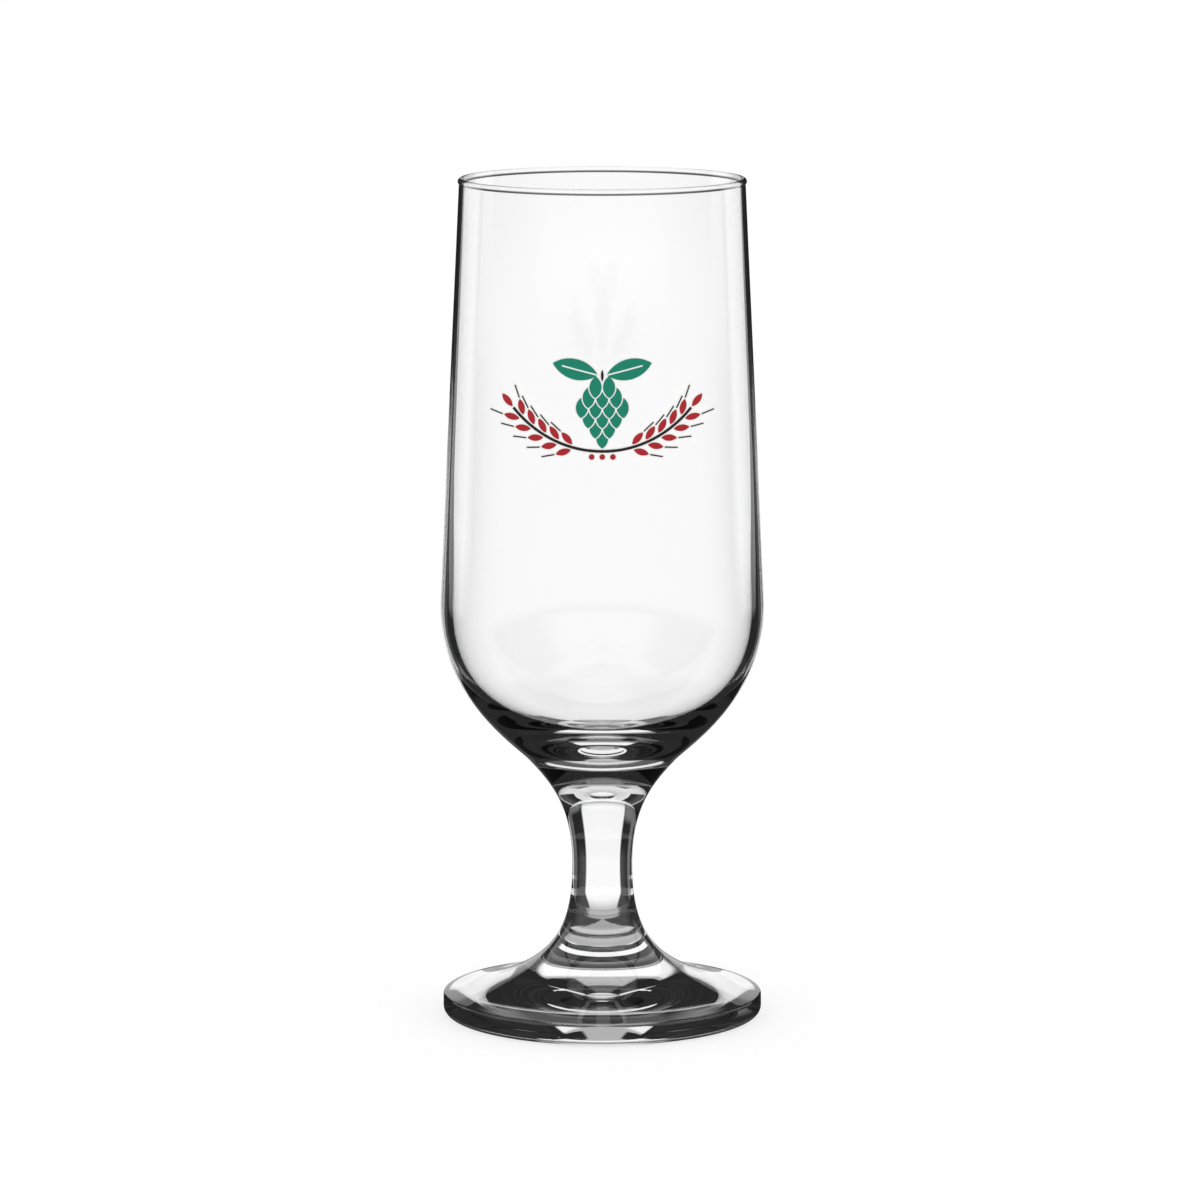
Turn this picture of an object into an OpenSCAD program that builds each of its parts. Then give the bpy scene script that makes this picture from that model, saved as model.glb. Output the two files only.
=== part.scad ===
// Stemmed pilsner glass: a blown bowl, a drawn stem and a pressed foot, fused end to end,
// with a screen-printed emblem in four inks on the front of the bowl.
// Millimetres. The origin is the middle of the standing ring, +Z is up, and the emblem faces -Y.

/* [Rim] */
// Outside diameter of the bowl wall just below the rim bead
rim_d = 62.8; // [56:0.2:68]
// Thickness of the wall at the rim
rim_wall = 1.0; // [0.7:0.1:2]
// How far the fire-polished bead stands proud of each side of the wall
bead_proud = 0.26; // [0.1:0.02:0.6]

/* [Bowl] */
// Height of the bowl, from its joint with the stem to the top of the rim
bowl_h = 128.4; // [110:0.2:150]
// Outside diameter where the straight wall turns into the rounded bottom
belly_d = 71.4; // [66:0.2:78]
// Height of that turn above the joint with the stem
belly_h = 35.4; // [30:0.2:42]
// Thickness of the wall at the belly
belly_wall = 2.5; // [1.6:0.1:4]
// Thickness of the glass at the middle of the bowl's floor
floor_wall = 3.6; // [3:0.1:10]
// Roundness of the outside below the belly, as a share of the belly's height
belly_fullness = 0.59; // [0.4:0.01:0.75]
// Roundness of the inside, as a share of the inside depth below the belly
inside_fullness = 0.77; // [0.5:0.01:0.95]
// Breadth of the inside floor, as a share of the inside radius
floor_breadth = 0.40; // [0.1:0.01:0.6]

/* [Stem] */
// Height of the stem between its two joints
stem_h = 40.6; // [30:0.2:70]
// Diameter of the joint between the bowl and the stem
bowl_joint_d = 33.1; // [26:0.1:38]
// Slope of the outside at that joint, in degrees above level
bowl_joint_slope = 46; // [35:1:60]
// Diameter of the stem at its waist
waist_d = 13.3; // [9:0.1:18]
// Height of the waist above the joint with the foot
waist_h = 16.2; // [12:0.1:22]

/* [Foot] */
// Height of the foot, from the table to its joint with the stem
foot_h = 17; // [13:0.1:24]
// Diameter of the joint between the stem and the foot
foot_joint_d = 20.7; // [16:0.1:26]
// Slope of the outside at that joint, in degrees above level
foot_joint_slope = 56; // [45:1:70]
// Outside diameter of the foot
foot_d = 70.7; // [60:0.1:84]
// Height of the foot's upright edge
edge_h = 4.9; // [3.5:0.1:8]
// Radius of the rounded lower corner of the edge
lower_round = 1.8; // [0.6:0.1:2.4]
// Radius of the rounded upper corner of the edge
upper_round = 0.7; // [0.3:0.1:1]
// Slope of the foot's top where it meets the edge, in degrees above level
top_slope = 13; // [5:1:20]
// Width of the flat ring that the glass stands on
ring_w = 3.4; // [2:0.1:8]
// Depth of the shallow hollow under the foot
hollow_h = 3.2; // [1:0.1:5]

/* [Emblem] */
// Distance from the top of the rim down to the middle of the emblem
emblem_drop = 47.4; // [35:0.2:70]
// Thickness of one printed layer of ink
ink_t = 0.06; // [0.04:0.01:0.15]
// Margin of white underprint around each coloured shape
white_margin = 0.32; // [0.2:0.02:0.4]
// Clear gap between neighbouring printed shapes
print_gap = 0.3; // [0.2:0.02:0.4]
// Width of the printed stalks
stalk_w = 0.6; // [0.4:0.05:0.9]
// Width of the printed awns
awn_w = 0.28; // [0.2:0.02:0.4]
// Length of an awn
awn_len = 2.8; // [1.5:0.1:3.5]
// Length of a barley grain
grain_len = 3.4; // [2.6:0.1:4]
// Width of a barley grain
grain_w = 1.4; // [1:0.05:1.6]
// Pairs of grains on an ear
grain_pairs = 5; // [3:1:6]
// Length of a hop bract
bract_len = 4.6; // [3.6:0.1:5]
// Width of a hop bract
bract_w = 2.6; // [2:0.1:2.8]
// Length of a hop leaf
leaf_len = 10; // [6:0.1:12]
// Width of a hop leaf
leaf_w = 4.4; // [3:0.1:5]
// Diameter of a berry
berry_d = 1.2; // [0.8:0.1:1.6]

/* [Hidden] */
$fn = 96;

// Steps along each smooth curve
curve_steps = 30;
// Steps along each rounded corner
corner_steps = 10;

// Heights of the joints and of the rim
foot_joint_z = foot_h;
bowl_joint_z = foot_joint_z + stem_h;
rim_z = bowl_joint_z + bowl_h;

// Rim: the bead is centred on the wall and its top is the top of the glass
bead_r = rim_wall / 2 + bead_proud;
bead_z = rim_z - bead_r;
bead_mid_r = rim_d / 2 - rim_wall / 2;
// Angle, from level, at which the wall meets the bead
bead_meet = acos(rim_wall / 2 / bead_r);

// Bowl outline
belly_z = bowl_joint_z + belly_h;
belly_r = belly_d / 2;
wall_top_r = rim_d / 2;
wall_top_z = bead_z - bead_r * sin(bead_meet);
wall_lean = atan((belly_r - wall_top_r) / (wall_top_z - belly_z));
inside_top_r = wall_top_r - rim_wall;
inside_belly_r = belly_r - belly_wall;
inside_floor_z = bowl_joint_z + floor_wall;
inside_drop = belly_z - inside_floor_z;
inside_lean = atan((inside_belly_r - inside_top_r) / (wall_top_z - belly_z));
bowl_joint_r = bowl_joint_d / 2;
// Reach of the smooth curves on each side of the bowl's joint, as shares of the span beside it
bowl_joint_reach = 0.27;
stem_top_reach = 0.98;
waist_up_reach = 0.475;
waist_down_reach = 0.47;
stem_foot_reach = 0.26;
foot_neck_reach = 0.45;
foot_top_reach = 0.1;

// Stem outline
waist_r = waist_d / 2;
waist_z = foot_joint_z + waist_h;
foot_joint_r = foot_joint_d / 2;

// Foot outline
foot_r = foot_d / 2;
ring_outer_r = foot_r - lower_round;
hollow_r = ring_outer_r - ring_w;
hollow_arc_r = (hollow_r * hollow_r + hollow_h * hollow_h) / (2 * hollow_h);
hollow_angle = asin(hollow_r / hollow_arc_r);

// Emblem layout, in the flat drawing: x to the right, y up, the middle of the emblem at [0, 0]
emblem_z = rim_z - emblem_drop;
ink_reach = belly_d;
// Barley ear: where its axis starts, its heading there and the radius that it bends on
ear_start = [6.6, -7.6];
ear_heading = 15;
ear_bend = 25;
ear_stalk_len = 9.5;
grain_spread = 33;
awn_spread = 27;
grain_pitch = (grain_w + print_gap) / sin(grain_spread);
ear_len = (grain_pairs - 0.2) * grain_pitch;
// Where a grain's inner tip starts beside the stalk
grain_side = stalk_w / 2 + print_gap;
// Lowest line of the stalks, where the two ears meet
stalk_low_y = ear_start.y - ear_bend * (1 - cos(ear_heading));
// Hop cone: bracts in each row from the tip up, each row tucked under the row above it
bract_rows = [1, 2, 3, 4, 3, 2];
bract_pitch = bract_w + print_gap;
bract_row_step = 0.47 * bract_len;
bract_fan = 4;
cone_tip_y = stalk_low_y + stalk_w / 2 + print_gap;
cone_top_y = cone_tip_y + (len(bract_rows) - 1) * bract_row_step + bract_len;
// Hop leaves: their inner tip, their rise and the slit along their midrib
leaf_start = [stalk_w / 2 + 2 * print_gap, cone_top_y + print_gap];
leaf_rise = 14;
leaf_slit = 0.35;
// Stalk of the hop cone, between its leaves
cone_stalk_len = 2.6;
// Berries in a row below the stalks
berry_count = 3;
berry_pitch = 1.9 * berry_d;
berry_y = stalk_low_y - stalk_w / 2 - print_gap - berry_d / 2;
// Heights of the ink, from the lowest berry to the highest leaf
ink_low_y = berry_y - berry_d;
ink_high_y = leaf_start.y + leaf_len * sin(leaf_rise) + leaf_w;

// Point on a smooth curve from a to d that leaves towards b and arrives from c
function curve_point(a, b, c, d, t) =
    pow(1 - t, 3) * a + 3 * pow(1 - t, 2) * t * b + 3 * (1 - t) * t * t * c + pow(t, 3) * d;
function curve(a, b, c, d) = [for (i = [0:curve_steps]) curve_point(a, b, c, d, i / curve_steps)];
function arc(mid, r, from, to, steps) =
    [for (i = [0:steps]) mid + r * [cos(from + (to - from) * i / steps), sin(from + (to - from) * i / steps)]];
function heading(angle) = [cos(angle), sin(angle)];
// Outside radius of the straight wall at height z
function wall_r(z) = wall_top_r + (wall_top_z - z) * tan(wall_lean);

// Outside of the bowl from the joint up to the belly
function bowl_side() =
    let (joint = [bowl_joint_r, bowl_joint_z], belly = [belly_r, belly_z])
    curve(joint,
          joint + bowl_joint_reach * (belly_r - bowl_joint_r) * heading(bowl_joint_slope),
          belly + belly_fullness * belly_h * [sin(wall_lean), -cos(wall_lean)],
          belly);

// Inside of the bowl from the belly down to the middle of its floor
function bowl_inside() =
    let (belly = [inside_belly_r, belly_z], middle = [0, inside_floor_z])
    curve(belly,
          belly + inside_fullness * inside_drop * [sin(inside_lean), -cos(inside_lean)],
          middle + [floor_breadth * inside_belly_r, 0],
          middle);

// Outside of the stem from its lower joint up to its upper one
function stem_side() =
    let (low = [foot_joint_r, foot_joint_z], waist = [waist_r, waist_z], high = [bowl_joint_r, bowl_joint_z],
         rise = bowl_joint_z - waist_z)
    concat(
        curve(low,
              low + stem_foot_reach * waist_h * heading(180 - foot_joint_slope),
              waist - [0, waist_down_reach * waist_h],
              waist),
        curve(waist,
              waist + [0, waist_up_reach * rise],
              high - stem_top_reach * (bowl_joint_r - waist_r) * heading(bowl_joint_slope),
              high));

// Top of the foot from its edge in to the joint with the stem
function foot_top() =
    let (mid = [foot_r - upper_round, edge_h - upper_round], span = foot_r - foot_joint_r,
         shoulder = mid + upper_round * heading(90 - top_slope), neck = [foot_joint_r, foot_joint_z])
    concat(
        arc(mid, upper_round, 0, 90 - top_slope, corner_steps),
        curve(shoulder,
              shoulder + foot_top_reach * span * heading(180 - top_slope),
              neck + foot_neck_reach * span * heading(-foot_joint_slope),
              neck));

module bowl() {
    color([0.88, 0.92, 0.93, 0.4])
        rotate_extrude()
            polygon(concat(
                [[0, bowl_joint_z]],
                bowl_side(),
                arc([bead_mid_r, bead_z], bead_r, -bead_meet, 180 + bead_meet, 3 * corner_steps),
                bowl_inside()));
}

module stem() {
    color([0.85, 0.90, 0.91, 0.5])
        rotate_extrude()
            polygon(concat([[0, foot_joint_z]], stem_side(), [[0, bowl_joint_z]]));
}

module foot() {
    color([0.83, 0.88, 0.90, 0.5])
        rotate_extrude()
            polygon(concat(
                arc([0, hollow_h - hollow_arc_r], hollow_arc_r, 90, 90 - hollow_angle, corner_steps),
                arc([ring_outer_r, lower_round], lower_round, -90, 0, corner_steps),
                foot_top(),
                [[0, foot_joint_z]]));
}

// Pointed oval, its long axis along x, grown by a margin
module pointed_oval(length, width, grow = 0) {
    l = length + 2 * grow;
    w = width + 2 * grow;
    r = (l * l + w * w) / (4 * w);
    intersection() {
        translate([0, r - w / 2]) circle(r);
        translate([0, w / 2 - r]) circle(r);
    }
}

// Place and heading on a barley ear's axis, s along it
function ear_angle(s) = ear_heading + s / ear_bend * 180 / PI;
function ear_point(s) =
    ear_start + ear_bend * [sin(ear_angle(s)) - sin(ear_heading), cos(ear_heading) - cos(ear_angle(s))];
// Inner tip of the grain at s, on one side of the stalk
function grain_root(s, side) = ear_point(s) + side * grain_side * heading(ear_angle(s) + 90);

module both_sides() {
    children();
    mirror([1, 0]) children();
}

module grain(s, side, grow) {
    a = ear_angle(s) + side * grain_spread;
    translate(grain_root(s, side) + grain_len / 2 * heading(a)) rotate(a) pointed_oval(grain_len, grain_w, grow);
}

module awn(s, side, grow) {
    a = ear_angle(s) + side * grain_spread;
    translate(grain_root(s, side) + (grain_len + print_gap) * heading(a))
        rotate(ear_angle(s) + side * awn_spread)
            translate([-grow, -awn_w / 2 - grow]) square([awn_len + 2 * grow, awn_w + 2 * grow]);
}

// One grain closes the ear at the end of its stalk
module end_grain(grow) {
    a = ear_angle(ear_len);
    translate(ear_point(ear_len) + (grain_len / 2 + print_gap) * heading(a))
        rotate(a) pointed_oval(grain_len, grain_w, grow);
}

module ear_grains(grow = 0) {
    for (i = [0:grain_pairs - 1], side = [-1, 1]) grain(i * grain_pitch, side, grow);
    end_grain(grow);
}

module ear_awns(grow = 0) {
    for (i = [0:grain_pairs - 1], side = [-1, 1]) awn(i * grain_pitch, side, grow);
}

module ear_stalk(grow = 0) {
    steps = 24;
    run = ear_stalk_len + ear_len + 2 * grow;
    stations = [for (i = [0:steps]) run * i / steps - ear_stalk_len - grow];
    function edge(s, side) = ear_point(s) + side * (stalk_w / 2 + grow) * heading(ear_angle(s) + 90);
    polygon(concat(
        [for (s = stations) edge(s, 1)],
        [for (i = [steps:-1:0]) edge(stations[i], -1)]));
}

module bract_row(row, grow = 0) {
    for (i = [0:bract_rows[row] - 1]) {
        across = i - (bract_rows[row] - 1) / 2;
        translate([across * bract_pitch, cone_tip_y + bract_len / 2 + row * bract_row_step])
            rotate(90 + across * bract_fan) pointed_oval(bract_len, bract_w, grow);
    }
}

// The row above overlaps each row, with a clear line between them
module bracts() {
    for (row = [0:len(bract_rows) - 1]) difference() {
        bract_row(row);
        if (row + 1 < len(bract_rows)) bract_row(row + 1, print_gap);
    }
}

module leaf(grow = 0, slit = 0) {
    translate(leaf_start) rotate(leaf_rise) difference() {
        translate([leaf_len / 2, 0]) pointed_oval(leaf_len, leaf_w, grow);
        if (slit > 0) translate([-1, -slit / 2]) square([leaf_len - 1, slit]);
    }
}

module cone_stalk(grow = 0) {
    translate([0, cone_top_y - bract_row_step / 2 + cone_stalk_len / 2])
        rotate(90) pointed_oval(cone_stalk_len, stalk_w, grow);
}

module berries(grow = 0) {
    for (i = [0:berry_count - 1])
        translate([(i - (berry_count - 1) / 2) * berry_pitch, berry_y]) circle(berry_d / 2 + grow);
}

// Layer of ink on the bowl's wall, cut to the flat drawing given as its child
module ink(level) {
    low = emblem_z + ink_low_y;
    high = emblem_z + ink_high_y;
    inner = (level - 1) * ink_t;
    outer = level * ink_t;
    intersection() {
        rotate_extrude()
            polygon([
                [wall_r(low) + inner, low], [wall_r(low) + outer, low],
                [wall_r(high) + outer, high], [wall_r(high) + inner, high]]);
        translate([0, 0, emblem_z]) rotate([90, 0, 0]) linear_extrude(ink_reach) children();
    }
}

module print_white() {
    color("white") ink(1) {
        both_sides() {
            ear_grains(white_margin);
            ear_awns(white_margin);
            ear_stalk(white_margin);
            leaf(white_margin);
        }
        for (row = [0:len(bract_rows) - 1]) bract_row(row, white_margin);
        cone_stalk(white_margin);
        berries(white_margin);
    }
}

module print_green() {
    color([0.05, 0.50, 0.40]) ink(2) {
        bracts();
        both_sides() leaf(0, leaf_slit);
    }
}

module print_red() {
    color([0.66, 0.12, 0.15]) ink(2) {
        both_sides() ear_grains();
        berries();
    }
}

module print_black() {
    color([0.08, 0.08, 0.08]) ink(2) {
        both_sides() {
            ear_stalk();
            ear_awns();
        }
        cone_stalk();
    }
}

bowl();
stem();
foot();
print_white();
print_green();
print_red();
print_black();
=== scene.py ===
"""A stemmed pilsner glass: bowl, stem and foot of clear glass, with a printed emblem on the bowl."""

from math import acos, asin, atan, cos, degrees, pi, radians, sin

import bpy
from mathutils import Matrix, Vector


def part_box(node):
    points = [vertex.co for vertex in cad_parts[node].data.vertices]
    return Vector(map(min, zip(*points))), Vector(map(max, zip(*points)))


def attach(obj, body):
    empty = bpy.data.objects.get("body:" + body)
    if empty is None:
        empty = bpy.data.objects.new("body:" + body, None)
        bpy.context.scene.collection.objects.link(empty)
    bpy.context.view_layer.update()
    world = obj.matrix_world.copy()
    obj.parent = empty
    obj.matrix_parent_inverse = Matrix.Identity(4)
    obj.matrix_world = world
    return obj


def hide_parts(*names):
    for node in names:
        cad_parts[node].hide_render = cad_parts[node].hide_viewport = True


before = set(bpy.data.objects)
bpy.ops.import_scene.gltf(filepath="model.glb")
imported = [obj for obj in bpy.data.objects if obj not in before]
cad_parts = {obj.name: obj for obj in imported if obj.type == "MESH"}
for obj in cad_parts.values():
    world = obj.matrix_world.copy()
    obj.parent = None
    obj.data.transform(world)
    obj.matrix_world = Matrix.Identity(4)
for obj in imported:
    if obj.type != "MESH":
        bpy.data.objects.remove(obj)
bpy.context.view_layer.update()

# Measures of the glass in metres: heights and main radii come from the frame
bowl_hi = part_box("bowl")[1]
stem_lo, stem_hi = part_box("stem")
foot_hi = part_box("foot")[1]
rim_z = bowl_hi.z
bowl_joint_z = stem_hi.z
foot_joint_z = stem_lo.z
bowl_joint_r = stem_hi.x
foot_r = foot_hi.x

# Bowl, its wall drawn in by a hair so that the ink lies outside the glass
ink_gap = 0.00006
rim_r = 0.0314 - ink_gap
rim_wall = 0.0010
bead_proud = 0.00026
belly_r = 0.0357 - ink_gap
belly_above_joint = 0.0354
belly_wall = 0.0025
floor_wall = 0.0036
belly_fullness = 0.59
bowl_joint_reach = 0.27
bowl_joint_slope = radians(46)
inside_fullness = 0.77
floor_breadth = 0.40

# Stem
waist_r = 0.00665
waist_above_joint = 0.0162
foot_joint_r = 0.01035
foot_joint_slope = radians(56)
stem_top_reach = 0.98
waist_up_reach = 0.475
waist_down_reach = 0.47
stem_foot_reach = 0.26

# Foot
edge_h = 0.0049
lower_round = 0.0018
upper_round = 0.0007
top_slope = radians(13)
ring_w = 0.0034
hollow_h = 0.0032
foot_neck_reach = 0.45
foot_top_reach = 0.1

# Fineness of the turned meshes
segments = 256
curve_steps = 40
bead_steps = 28
corner_steps = 8
hollow_steps = 16
sharp_angle = radians(28)
# Lengths below this count as nothing
tiny = 1e-7

# Finishes
glass_ior = 1.52
ink_colours = {"white": "F4F4F2", "green": "0E7F66", "red": "A81E27", "black": "1A1718"}
ink_specular = 0.2
ink_grain_scale = 900
ink_grain_detail = 4
ink_tone_low = 0.93
ink_tone_high = 1.05
ink_roughness_low = 0.32
ink_roughness_high = 0.46


def heading(angle):
    """Unit step in the outline's plane, at an angle above the radius."""
    return (cos(angle), sin(angle))


def along(point, step, length):
    """Point reached from another by a step of some length."""
    return (point[0] + step[0] * length, point[1] + step[1] * length)


def curve(start, first, second, end):
    """Points of a cubic curve from start to end, pulled by two handles."""
    points = []
    for i in range(curve_steps + 1):
        t = i / curve_steps
        weights = ((1 - t) ** 3, 3 * (1 - t) ** 2 * t, 3 * (1 - t) * t * t, t ** 3)
        corners = (start, first, second, end)
        points.append(tuple(sum(w * c[k] for w, c in zip(weights, corners)) for k in (0, 1)))
    return points


def arc(middle, radius, start, end, steps):
    """Points of an arc between two angles."""
    return [along(middle, heading(start + (end - start) * i / steps), radius) for i in range(steps + 1)]


def bowl_outline():
    """Outline of the bowl from the joint's middle, up the outside, over the rim and down the inside."""
    belly_z = bowl_joint_z + belly_above_joint
    bead_r = rim_wall / 2 + bead_proud
    bead_z = rim_z - bead_r
    bead_meet = acos(rim_wall / 2 / bead_r)
    wall_top_z = bead_z - bead_r * sin(bead_meet)
    wall_lean = atan((belly_r - rim_r) / (wall_top_z - belly_z))
    joint = (bowl_joint_r, bowl_joint_z)
    belly = (belly_r, belly_z)
    side = curve(
        joint,
        along(joint, heading(bowl_joint_slope), bowl_joint_reach * (belly_r - bowl_joint_r)),
        along(belly, (sin(wall_lean), -cos(wall_lean)), belly_fullness * belly_above_joint),
        belly,
    )
    bead = arc((rim_r - rim_wall / 2, bead_z), bead_r, -bead_meet, pi + bead_meet, bead_steps)
    inner_belly = (belly_r - belly_wall, belly_z)
    inner_lean = atan((inner_belly[0] - rim_r + rim_wall) / (wall_top_z - belly_z))
    floor_middle = (0, bowl_joint_z + floor_wall)
    inside_drop = belly_above_joint - floor_wall
    inside = curve(
        inner_belly,
        along(inner_belly, (sin(inner_lean), -cos(inner_lean)), inside_fullness * inside_drop),
        along(floor_middle, (1, 0), floor_breadth * inner_belly[0]),
        floor_middle,
    )
    return [(0, bowl_joint_z)] + side + bead + inside


def stem_outline():
    """Outline of the stem from the foot joint's middle, up the waist to the bowl joint's middle."""
    low = (foot_joint_r, foot_joint_z)
    waist = (waist_r, foot_joint_z + waist_above_joint)
    high = (bowl_joint_r, bowl_joint_z)
    rise = high[1] - waist[1]
    lower = curve(
        low,
        along(low, heading(pi - foot_joint_slope), stem_foot_reach * waist_above_joint),
        along(waist, (0, -1), waist_down_reach * waist_above_joint),
        waist,
    )
    upper = curve(
        waist,
        along(waist, (0, 1), waist_up_reach * rise),
        along(high, heading(bowl_joint_slope), -stem_top_reach * (bowl_joint_r - waist_r)),
        high,
    )
    return [(0, foot_joint_z)] + lower + upper[1:] + [(0, bowl_joint_z)]


def foot_outline():
    """Outline of the foot from the hollow's middle, out over the standing ring and up to the stem joint."""
    ring_outer_r = foot_r - lower_round
    hollow_r = ring_outer_r - ring_w
    hollow_arc_r = (hollow_r ** 2 + hollow_h ** 2) / (2 * hollow_h)
    hollow_angle = asin(hollow_r / hollow_arc_r)
    hollow = arc((0, hollow_h - hollow_arc_r), hollow_arc_r, pi / 2, pi / 2 - hollow_angle, hollow_steps)
    lower = arc((ring_outer_r, lower_round), lower_round, -pi / 2, 0, corner_steps)
    upper_middle = (foot_r - upper_round, edge_h - upper_round)
    upper = arc(upper_middle, upper_round, 0, pi / 2 - top_slope, corner_steps)
    shoulder = upper[-1]
    neck = (foot_joint_r, foot_joint_z)
    span = foot_r - foot_joint_r
    top = curve(
        shoulder,
        along(shoulder, heading(pi - top_slope), foot_top_reach * span),
        along(neck, heading(-foot_joint_slope), foot_neck_reach * span),
        neck,
    )
    return hollow + lower + upper + top[1:] + [(0, foot_joint_z)]


def turned(name, outline, joint_heights, skin, joint_skin):
    """Solid turned from an outline that starts and ends on the axis; flat joint faces get their own skin."""
    vertices = []
    rings = []
    for radius, z in outline:
        count = segments if radius > tiny else 1
        rings.append((len(vertices), count))
        for i in range(count):
            angle = 2 * pi * i / segments
            vertices.append((radius * cos(angle), radius * sin(angle), z))
    faces = []
    for (first, first_count), (second, second_count) in zip(rings, rings[1:]):
        for i in range(segments):
            j = (i + 1) % segments
            corners = [first + i % first_count, first + j % first_count]
            corners += [second + j % second_count, second + i % second_count]
            faces.append(list(dict.fromkeys(corners)))
    mesh = bpy.data.meshes.new(name)
    mesh.from_pydata(vertices, [], faces)
    mesh.materials.append(skin)
    mesh.materials.append(joint_skin)
    for face in mesh.polygons:
        face.use_smooth = True
        heights = [mesh.vertices[v].co.z for v in face.vertices]
        flat_at = [h for h in joint_heights if max(abs(z - h) for z in heights) < tiny]
        face.material_index = 1 if flat_at else 0
    mesh.set_sharp_from_angle(angle=sharp_angle)
    mesh.update()
    piece = bpy.data.objects.new(name, mesh)
    bpy.context.scene.collection.objects.link(piece)
    return piece


def linear(hex_colour):
    """Linear colour for a colour written as six hexadecimal digits."""
    shares = [int(hex_colour[k:k + 2], 16) / 255 for k in (0, 2, 4)]
    return tuple(s / 12.92 if s <= 0.04045 else ((s + 0.055) / 1.055) ** 2.4 for s in shares) + (1,)


def new_material(name):
    """Empty node material: the material, its nodes, its links and its output."""
    material = bpy.data.materials.new(name)
    material.use_nodes = True
    nodes = material.node_tree.nodes
    nodes.clear()
    output = nodes.new("ShaderNodeOutputMaterial")
    return material, nodes, material.node_tree.links, output


def clear_glass():
    """Soda-lime glass."""
    material, nodes, links, output = new_material("clear_glass")
    shader = nodes.new("ShaderNodeBsdfPrincipled")
    shader.inputs["Base Color"].default_value = (1, 1, 1, 1)
    shader.inputs["Roughness"].default_value = 0
    shader.inputs["IOR"].default_value = glass_ior
    shader.inputs["Transmission Weight"].default_value = 1
    links.new(shader.outputs["BSDF"], output.inputs["Surface"])
    return material


def fused_joint():
    """Joint face inside the fused glass: light goes straight through it."""
    material, nodes, links, output = new_material("fused_joint")
    shader = nodes.new("ShaderNodeBsdfTransparent")
    links.new(shader.outputs["BSDF"], output.inputs["Surface"])
    return material


def fired_ink(name, hex_colour):
    """Fired enamel ink with a little unevenness in its tone and gloss."""
    material, nodes, links, output = new_material(name)
    shader = nodes.new("ShaderNodeBsdfPrincipled")
    shader.inputs["Specular IOR Level"].default_value = ink_specular
    place = nodes.new("ShaderNodeTexCoord")
    grain = nodes.new("ShaderNodeTexNoise")
    grain.inputs["Scale"].default_value = ink_grain_scale
    grain.inputs["Detail"].default_value = ink_grain_detail
    tone = nodes.new("ShaderNodeMapRange")
    tone.inputs["To Min"].default_value = ink_tone_low
    tone.inputs["To Max"].default_value = ink_tone_high
    tint = nodes.new("ShaderNodeMix")
    tint.data_type = "RGBA"
    tint.blend_type = "MULTIPLY"
    tint.inputs["Factor"].default_value = 1
    tint.inputs["A"].default_value = linear(hex_colour)
    gloss = nodes.new("ShaderNodeMapRange")
    gloss.inputs["To Min"].default_value = ink_roughness_low
    gloss.inputs["To Max"].default_value = ink_roughness_high
    links.new(place.outputs["Object"], grain.inputs["Vector"])
    links.new(grain.outputs["Fac"], tone.inputs["Value"])
    links.new(grain.outputs["Fac"], gloss.inputs["Value"])
    links.new(tone.outputs["Result"], tint.inputs["B"])
    links.new(tint.outputs["Result"], shader.inputs["Base Color"])
    links.new(gloss.outputs["Result"], shader.inputs["Roughness"])
    links.new(shader.outputs["BSDF"], output.inputs["Surface"])
    return material


# Glass pieces
glass = clear_glass()
joint_face = fused_joint()
glass_pieces = {
    "bowl": (bowl_outline(), [bowl_joint_z]),
    "stem": (stem_outline(), [foot_joint_z, bowl_joint_z]),
    "foot": (foot_outline(), [foot_joint_z]),
}
for node, (outline, joint_heights) in glass_pieces.items():
    piece = turned("glass_" + node, outline, joint_heights, glass, joint_face)
    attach(piece, "root")
    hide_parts(node)

# Printed emblem
for colour, hex_colour in ink_colours.items():
    ink_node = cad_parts["print_" + colour]
    ink_node.data.materials.clear()
    ink_node.data.materials.append(fired_ink(colour + "_ink", hex_colour))


# Studio: a white floor, and round the glass a light tent that only its reflections and refractions see.
# Its tones go by place and by how often the glass has mirrored or refracted the light.
# Bearings are in degrees from the back, heights and distances in metres.
# Tones go from 0 for black to 1 for white.
floor_r = 4.0
floor_drop = 0.0002
floor_glow = 0.62
floor_colour = 0.4
tent_r = 0.25
tent_h = 0.45
tent_segments = 128
tent_dark = 0.02
edge_soft = 3
# White window behind the glass, as light shows it that no glass has mirrored
back_bearing = -1.5
back_half_width = 24
back_full_h = 0.15
back_fade_h = 0.24
back_high_tone = 0.1
# The same window in light mirrored once: dimmer and narrower higher up
mirrored_full_h = 0.085
mirrored_half_h = 0.1
mirrored_half_tone = 0.48
mirrored_fade_h = 0.18
mirrored_gone_h = 0.23
mirrored_high_tone = 0.12
mirrored_high_half_width = 11
mirrored_narrow_h = 0.103
mirrored_narrowed_h = 0.115
# Its share in light mirrored more often
often_share = 0.35
# Other windows, for light that no glass has mirrored: bearing, half width and tone
side_windows = [
    (52, 7, 0.15),
    (-52, 7, 0.2),
    (84, 22, 0.9),
    (-90, 18, 1.0),
    (135, 22, 1.0),
    (-135, 22, 1.0),
    (180, 14, 1.0),
]
side_full_h = 0.2
side_fade_h = 0.3
# White sides in light mirrored once: they start nearer the back higher up
flank_start_low = 64
flank_start_high = 38
flank_high_h = 0.1
flank_from_h = 0.045
flank_full_h = 0.075
flank_end = 70
flank_tone = 0.95
# White front, high up in the same light
front_half_width = 50
front_soft = 40
front_from_h = 0.13
front_full_h = 0.16
# White front of the tent and of the floor, as the outside of the glass mirrors it
outside_front_half_width = 90
outside_front_full_h = 0.2
outside_front_fade_h = 0.3
front_floor_from_r = 0.1
front_floor_full_r = 0.14
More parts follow.
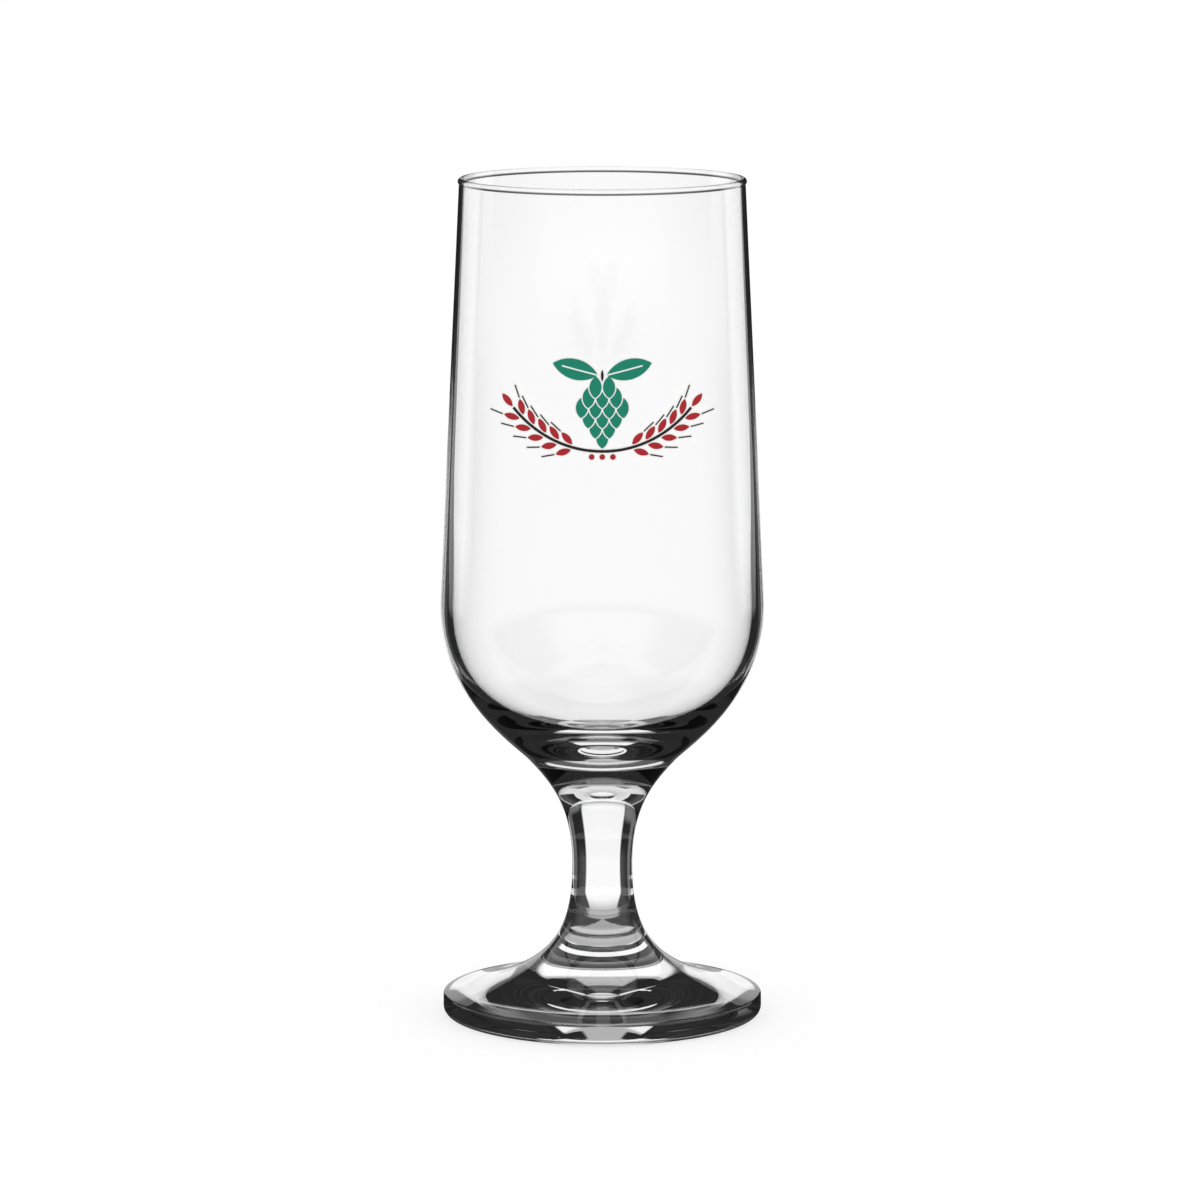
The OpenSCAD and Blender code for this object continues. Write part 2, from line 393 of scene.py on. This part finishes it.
# Grey light on the tent's sides and top: bearing, half width, start height, full height and tone
glows = [(-50, 25, 0.07, 0.12, 0.2), (50, 25, 0.12, 0.17, 0.2), (0, 80, 0.25, 0.4, 0.3)]
# Tent in light mirrored once inside the hollow bowl: white, greyer higher up
hollow_full_h = 0.2
hollow_fade_h = 0.4
hollow_high_tone = 0.15
hollow_side_start = 45
hollow_side_end = 58
hollow_side_from_h = 0.1
hollow_side_full_h = 0.16
hollow_side_share = 0.1
# Pale upper tent, as the outside of the glass mirrors it, and how wide and high it is behind the glass
outside_from_h = 0.115
outside_full_h = 0.15
outside_tone = 1.0
outside_back_half_width = 75
outside_middle_half_width = 14
outside_back_full_h = 0.16
outside_back_fade_h = 0.2
outside_softbox_tone = 0.3
softbox_middle_y = 0.11
softbox_r = 0.14
softbox_soft = 0.2
# White band round the mouth and a funnel below it, seen through a single wall
mouth_band_r = 0.08
mouth_band_low = 0.128
mouth_band_high = 0.1835
funnel_r = 0.042
funnel_low = 0.072
# Floor as the glass shows it: dark, as painted shade, wherever no window or lit patch lies
glass_floor_shade = 0.03
foot_cover_r = 0.036
foot_cover_soft = 0.002
back_floor_near_half_width = 15
back_floor_near_r = 0.04
back_floor_far_r = 0.08
shade_tone = 0.35
shade_from_r = 0.03
shade_to_r = 0.07
mirrored_floor_tone = 0.13
mirrored_floor_from_r = 0.05
mirrored_floor_to_r = 0.09
often_floor_tone = 0.1
often_floor_from_r = 0.06
often_floor_to_r = 0.075
# Floor under the foot, in straight light and in light mirrored once or more often
under_half_width = 95
under_soft = 30
under_tone = 0.95
under_once_half_width = 18
under_once_tone = 0.6
under_once_from_r = 0.011
under_once_to_r = 0.019
under_often_r = 0.022


class Maths:
    """Builds chains of Math, Mix and Map Range nodes in one node tree."""

    def __init__(self, tree):
        self.nodes = tree.nodes
        self.links = tree.links

    def feed(self, socket, value):
        """Sets a socket to a number, or links it to an output."""
        if isinstance(value, (int, float)):
            socket.default_value = value
        else:
            self.links.new(value, socket)

    def of(self, operation, first, second=0.0, third=0.0):
        """Result of one Math node."""
        node = self.nodes.new("ShaderNodeMath")
        node.operation = operation
        for socket, value in zip(node.inputs, (first, second, third)):
            self.feed(socket, value)
        return node.outputs[0]

    def times(self, first, *others):
        """Product of two or more values."""
        for other in others:
            first = self.of("MULTIPLY", first, other)
        return first

    def brightest(self, first, *others):
        """Greatest of two or more values."""
        for other in others:
            first = self.of("MAXIMUM", first, other)
        return first

    def less(self, first, second):
        """First value less the second."""
        return self.of("SUBTRACT", first, second)

    def ramp(self, value, start, end, low=0.0, high=1.0):
        """Goes smoothly from low to high as the value goes from start to end."""
        node = self.nodes.new("ShaderNodeMapRange")
        node.interpolation_type = "SMOOTHSTEP"
        for name, number in (("From Min", start), ("From Max", end), ("To Min", low), ("To Max", high)):
            self.feed(node.inputs[name], number)
        self.feed(node.inputs["Value"], value)
        return node.outputs["Result"]

    def blend(self, factor, low, high):
        """Goes from low to high with the factor."""
        node = self.nodes.new("ShaderNodeMix")
        self.feed(node.inputs["Factor"], factor)
        self.feed(node.inputs["A"], low)
        self.feed(node.inputs["B"], high)
        return node.outputs["Result"]

    def sector(self, bearing, middle, half_width, soft=edge_soft):
        """1 within a sector, 0 outside it."""
        off = self.of("ABSOLUTE", self.of("WRAP", self.less(bearing, middle), 180, -180))
        return self.ramp(self.less(off, half_width), -soft / 2, soft / 2, 1.0, 0.0)

    def windows(self, bearing):
        """Tone of the side windows."""
        tone = 0.0
        for middle, half_width, window_tone in side_windows:
            tone = self.brightest(tone, self.times(self.sector(bearing, middle, half_width), window_tone))
        return tone


class Light:
    """What has become of the light that reaches a shaded point, each 1 if so and 0 if not."""

    def __init__(self, maths):
        path = maths.nodes.new("ShaderNodeLightPath").outputs
        crossings = path["Transmission Depth"]
        mirrorings = path["Glossy Depth"]
        # On its way to a painted surface, which sees the tent as plain white
        self.paints = maths.of("GREATER_THAN", path["Diffuse Depth"], 0.5)
        # Not mirrored by any glass, mirrored once, more than once, and at most three times
        self.straight = maths.of("LESS_THAN", mirrorings, 0.5)
        self.often = maths.of("GREATER_THAN", mirrorings, 1.5)
        self.once = maths.less(maths.less(1.0, self.straight), self.often)
        self.few = maths.of("LESS_THAN", mirrorings, 3.5)
        # Mirrored by the outside of the glass
        self.outside = maths.times(maths.of("LESS_THAN", crossings, 0.5), maths.less(1.0, self.straight))
        # In and out of the glass no more than once: through a single wall, the stem or the foot
        self.single = maths.times(maths.of("LESS_THAN", crossings, 2.5), self.straight)
        # Through both walls of the hollow bowl, straight or mirrored once
        through = maths.of("GREATER_THAN", crossings, 3.5)
        self.hollow = maths.times(through, self.straight)
        self.hollow_mirrored = maths.times(through, self.once)
        self.in_glass = maths.brightest(path["Is Glossy Ray"], path["Is Transmission Ray"])


def place_parts(maths):
    """Bearing in degrees from the back, distance from the axis, and height of the shaded point."""
    geometry = maths.nodes.new("ShaderNodeNewGeometry")
    split = maths.nodes.new("ShaderNodeSeparateXYZ")
    maths.links.new(geometry.outputs["Position"], split.inputs["Vector"])
    x, y, z = split.outputs
    bearing = maths.times(maths.of("ARCTAN2", x, y), degrees(1))
    distance = maths.of("SQRT", maths.of("ADD", maths.times(x, x), maths.times(y, y)))
    return bearing, distance, z


def glowing(maths, tone, output):
    """Sets a material to give out a tone."""
    glow = maths.nodes.new("ShaderNodeEmission")
    maths.feed(glow.inputs["Strength"], tone)
    maths.links.new(glow.outputs["Emission"], output.inputs["Surface"])


def tent_wall_material():
    """White windows and pale stretches on a dark wall, each for the light that shows them."""
    material, _, _, output = new_material("tent_wall")
    maths = Maths(material.node_tree)
    light = Light(maths)
    bearing, _, z = place_parts(maths)

    # Back window
    straight_back = maths.ramp(z, back_full_h, back_fade_h, 1.0, back_high_tone)
    mirrored_back = maths.of(
        "MINIMUM",
        maths.ramp(z, mirrored_full_h, mirrored_half_h, 1.0, mirrored_half_tone),
        maths.ramp(z, mirrored_fade_h, mirrored_gone_h, 1.0, mirrored_high_tone),
    )
    mirrored_half_width = maths.ramp(
        z, mirrored_narrow_h, mirrored_narrowed_h, back_half_width, mirrored_high_half_width
    )
    straight_back = maths.times(straight_back, maths.sector(bearing, back_bearing, back_half_width))
    mirrored_back = maths.times(mirrored_back, maths.sector(bearing, back_bearing, mirrored_half_width))
    mirrored_back = maths.times(mirrored_back, maths.blend(light.often, 1.0, often_share))
    back = maths.blend(light.straight, mirrored_back, straight_back)

    # Windows and glows round the other sides
    side_reach = maths.ramp(z, side_full_h, side_fade_h, 1.0, 0.0)
    sides = maths.times(maths.windows(bearing), side_reach, light.straight)
    glow = 0.0
    for middle, half_width, glow_from_h, glow_full_h, glow_tone in glows:
        rise = maths.ramp(z, glow_from_h, glow_full_h, 0.0, glow_tone)
        spread = maths.sector(bearing, middle, half_width, half_width / 2)
        glow = maths.brightest(glow, maths.times(rise, spread))
    glow = maths.times(glow, maths.less(1.0, light.once))

    # White sides and front in light mirrored once
    aside = maths.of("ABSOLUTE", bearing)
    flank_start = maths.ramp(z, 0.0, flank_high_h, flank_start_low, flank_start_high)
    flank = maths.ramp(maths.less(aside, flank_start), -edge_soft / 3, edge_soft / 3, 0.0, flank_tone)
    flank = maths.times(flank, maths.ramp(aside, flank_end - edge_soft, flank_end + edge_soft, 1.0, 0.0))
    flank = maths.times(flank, maths.ramp(z, flank_from_h, flank_full_h))
    front = maths.sector(bearing, 180, front_half_width, front_soft)
    front = maths.times(front, maths.ramp(z, front_from_h, front_full_h))
    once = maths.times(maths.brightest(flank, front), light.once)

    # Pale upper tent and white front in the outside of the glass
    high = maths.ramp(z, outside_from_h, outside_full_h, 0.0, outside_tone)
    behind = maths.sector(bearing, 0, outside_back_half_width)
    reach = maths.ramp(z, outside_back_full_h, outside_back_fade_h, 1.0, 0.0)
    reach = maths.times(reach, maths.sector(bearing, 0, outside_middle_half_width))
    high = maths.times(high, maths.blend(behind, 1.0, reach))
    outside_front = maths.sector(bearing, 180, outside_front_half_width, front_soft)
    outside_front = maths.times(
        outside_front, maths.ramp(z, outside_front_full_h, outside_front_fade_h, outside_tone, 0.0)
    )
    outside = maths.times(maths.brightest(high, outside_front), light.outside)

    # Inside of the hollow bowl
    hollow = maths.ramp(z, hollow_full_h, hollow_fade_h, 1.0, hollow_high_tone)
    hollow_side = maths.ramp(aside, hollow_side_start, hollow_side_end)
    hollow_side = maths.times(hollow_side, maths.ramp(z, hollow_side_from_h, hollow_side_full_h))
    hollow = maths.times(hollow, maths.blend(hollow_side, 1.0, hollow_side_share), light.hollow_mirrored)

    tone = maths.times(maths.brightest(back, sides, glow, once), light.few)
    tone = maths.brightest(tone, tent_dark, outside, hollow, light.hollow, light.paints)
    glowing(maths, tone, output)
    material.cycles.emission_sampling = "NONE"
    return material


def softbox_material():
    """Round white softbox in the dark top of the tent."""
    material, nodes, links, output = new_material("softbox")
    maths = Maths(material.node_tree)
    light = Light(maths)
    geometry = nodes.new("ShaderNodeNewGeometry")
    away = nodes.new("ShaderNodeVectorMath")
    away.operation = "DISTANCE"
    away.inputs[1].default_value = (0, softbox_middle_y, tent_h)
    links.new(geometry.outputs["Position"], away.inputs[0])
    edge = (softbox_r * (1 - softbox_soft), softbox_r * (1 + softbox_soft))
    tone = maths.ramp(away.outputs["Value"], edge[0], edge[1], 1.0, tent_dark)
    tone = maths.times(tone, maths.blend(light.outside, light.few, outside_softbox_tone))
    tone = maths.brightest(tone, light.hollow, light.hollow_mirrored, light.paints)
    glowing(maths, tone, output)
    material.cycles.emission_sampling = "NONE"
    return material


def mouth_band_material():
    """White for light through a single wall, clear for all other."""
    material, nodes, links, output = new_material("mouth_band")
    maths = Maths(material.node_tree)
    clear = nodes.new("ShaderNodeBsdfTransparent")
    white = nodes.new("ShaderNodeEmission")
    mix = nodes.new("ShaderNodeMixShader")
    links.new(Light(maths).single, mix.inputs["Fac"])
    links.new(clear.outputs["BSDF"], mix.inputs[1])
    links.new(white.outputs["Emission"], mix.inputs[2])
    links.new(mix.outputs["Shader"], output.inputs["Surface"])
    material.cycles.emission_sampling = "NONE"
    return material


def floor_material():
    """Pale floor that keeps the shadow, and that the glass shows as part of the tent, with painted shade
    where no window lies.
    """
    material, nodes, links, output = new_material("floor")
    maths = Maths(material.node_tree)
    light = Light(maths)
    bearing, distance, _ = place_parts(maths)
    paint = nodes.new("ShaderNodeBsdfDiffuse")
    paint.inputs["Color"].default_value = (floor_colour, floor_colour, floor_colour, 1)
    glow = nodes.new("ShaderNodeEmission")
    glow.inputs["Strength"].default_value = floor_glow
    plain = nodes.new("ShaderNodeAddShader")
    links.new(paint.outputs["BSDF"], plain.inputs[0])
    links.new(glow.outputs["Emission"], plain.inputs[1])

    # Behind the glass, darker near the foot: painted shade
    half_width = maths.ramp(
        distance, back_floor_near_r, back_floor_far_r, back_floor_near_half_width, back_half_width
    )
    back = maths.sector(bearing, back_bearing, half_width)
    back = maths.times(back, maths.ramp(distance, shade_from_r, shade_to_r, shade_tone, 1.0))
    mirrored = maths.ramp(distance, mirrored_floor_from_r, mirrored_floor_to_r, 1.0, mirrored_floor_tone)
    often = maths.ramp(distance, often_floor_from_r, often_floor_to_r, often_floor_tone, 1.0)
    mirrored = maths.blend(light.often, mirrored, often)
    back = maths.times(back, maths.blend(light.straight, mirrored, 1.0))

    # Under the foot
    covered = maths.ramp(distance, foot_cover_r - foot_cover_soft, foot_cover_r + foot_cover_soft, 1.0, 0.0)
    beyond = maths.less(1.0, covered)
    under = maths.sector(bearing, 0, under_half_width, under_soft)
    under = maths.times(covered, under, under_tone, light.single)
    under_once = maths.ramp(distance, under_once_from_r, under_once_to_r, 0.0, under_once_tone)
    under_once = maths.times(under_once, maths.sector(bearing, 0, under_once_half_width), covered, light.once)
    under_often = maths.times(maths.of("LESS_THAN", distance, under_often_r), light.often)

    sides = maths.times(maths.windows(bearing), beyond, light.straight)
    front = maths.sector(bearing, 180, outside_front_half_width, front_soft)
    front = maths.times(front, maths.ramp(distance, front_floor_from_r, front_floor_full_r), light.outside)
    tone = maths.times(maths.brightest(back, under, under_once, under_often, sides, front), light.few)
    open_floor = maths.times(maths.brightest(light.hollow, light.hollow_mirrored, light.paints), beyond)
    # The glass shows the floor dark, as painted shade, where nothing lighter lies
    seen = nodes.new("ShaderNodeEmission")
    links.new(maths.brightest(tone, glass_floor_shade, open_floor), seen.inputs["Strength"])
    mix = nodes.new("ShaderNodeMixShader")
    links.new(light.in_glass, mix.inputs["Fac"])
    links.new(plain.outputs["Shader"], mix.inputs[1])
    links.new(seen.outputs["Emission"], mix.inputs[2])
    links.new(mix.outputs["Shader"], output.inputs["Surface"])
    material.cycles.emission_sampling = "NONE"
    return material


def stage_mesh(name, vertices, faces, material):
    """Mesh that belongs to the studio and not to the object."""
    mesh = bpy.data.meshes.new(name)
    mesh.from_pydata(vertices, [], faces)
    mesh.materials.append(material)
    thing = bpy.data.objects.new(name, mesh)
    bpy.context.scene.collection.objects.link(thing)
    return thing


def ring(radius, z):
    """Points of a level circle round the axis."""
    return [along((0, 0), heading(2 * pi * i / tent_segments), radius) + (z,) for i in range(tent_segments)]


def round_wall(name, low, high, material):
    """Open wall round the glass between two rings, each given by its radius and height."""
    faces = []
    for i in range(tent_segments):
        j = (i + 1) % tent_segments
        faces.append((i, j, tent_segments + j, tent_segments + i))
    return stage_mesh(name, ring(*low) + ring(*high), faces, material)


def only_in_glass(thing):
    """Hides a stage piece from everything but glossy and refracted light."""
    thing.visible_camera = False
    thing.visible_diffuse = False
    thing.visible_shadow = False
    thing.visible_volume_scatter = False


disc = [list(range(tent_segments))]
stage_mesh("floor", ring(floor_r, -floor_drop), disc, floor_material())
only_in_glass(round_wall("tent_wall", (tent_r, -floor_drop), (tent_r, tent_h), tent_wall_material()))
band_low = (mouth_band_r, mouth_band_low)
band_high = (mouth_band_r, mouth_band_high)
band_white = mouth_band_material()
only_in_glass(round_wall("mouth_band", band_low, band_high, band_white))
only_in_glass(round_wall("mouth_funnel", (funnel_r, funnel_low), band_low, band_white))
only_in_glass(stage_mesh("tent_top", ring(tent_r, tent_h), disc, softbox_material()))

# Soft even light: a plain white surround
world = bpy.data.worlds.new("studio")
bpy.context.scene.world = world
world.use_nodes = True
world.node_tree.nodes["Background"].inputs["Color"].default_value = (1, 1, 1, 1)
world.node_tree.nodes["Background"].inputs["Strength"].default_value = 1

# Camera at the photograph's place
camera_back = 1.3109
camera_height = 0.2948
camera_pitch = radians(8.763)
camera_lens = 180.4
camera_sensor = 36
frame_shift = -0.0019
camera = bpy.data.objects.new("camera", bpy.data.cameras.new("camera"))
camera.data.sensor_width = camera_sensor
camera.data.lens = camera_lens
camera.data.shift_x = frame_shift
camera.location = (0, -camera_back, camera_height)
camera.rotation_euler = (pi / 2 - camera_pitch, 0, 0)
bpy.context.scene.collection.objects.link(camera)
bpy.context.scene.camera = camera

scene = bpy.context.scene
scene.view_settings.view_transform = "Standard"
scene.cycles.max_bounces = 32
scene.cycles.diffuse_bounces = 12
scene.cycles.transmission_bounces = 32
scene.cycles.glossy_bounces = 16
scene.cycles.transparent_max_bounces = 32
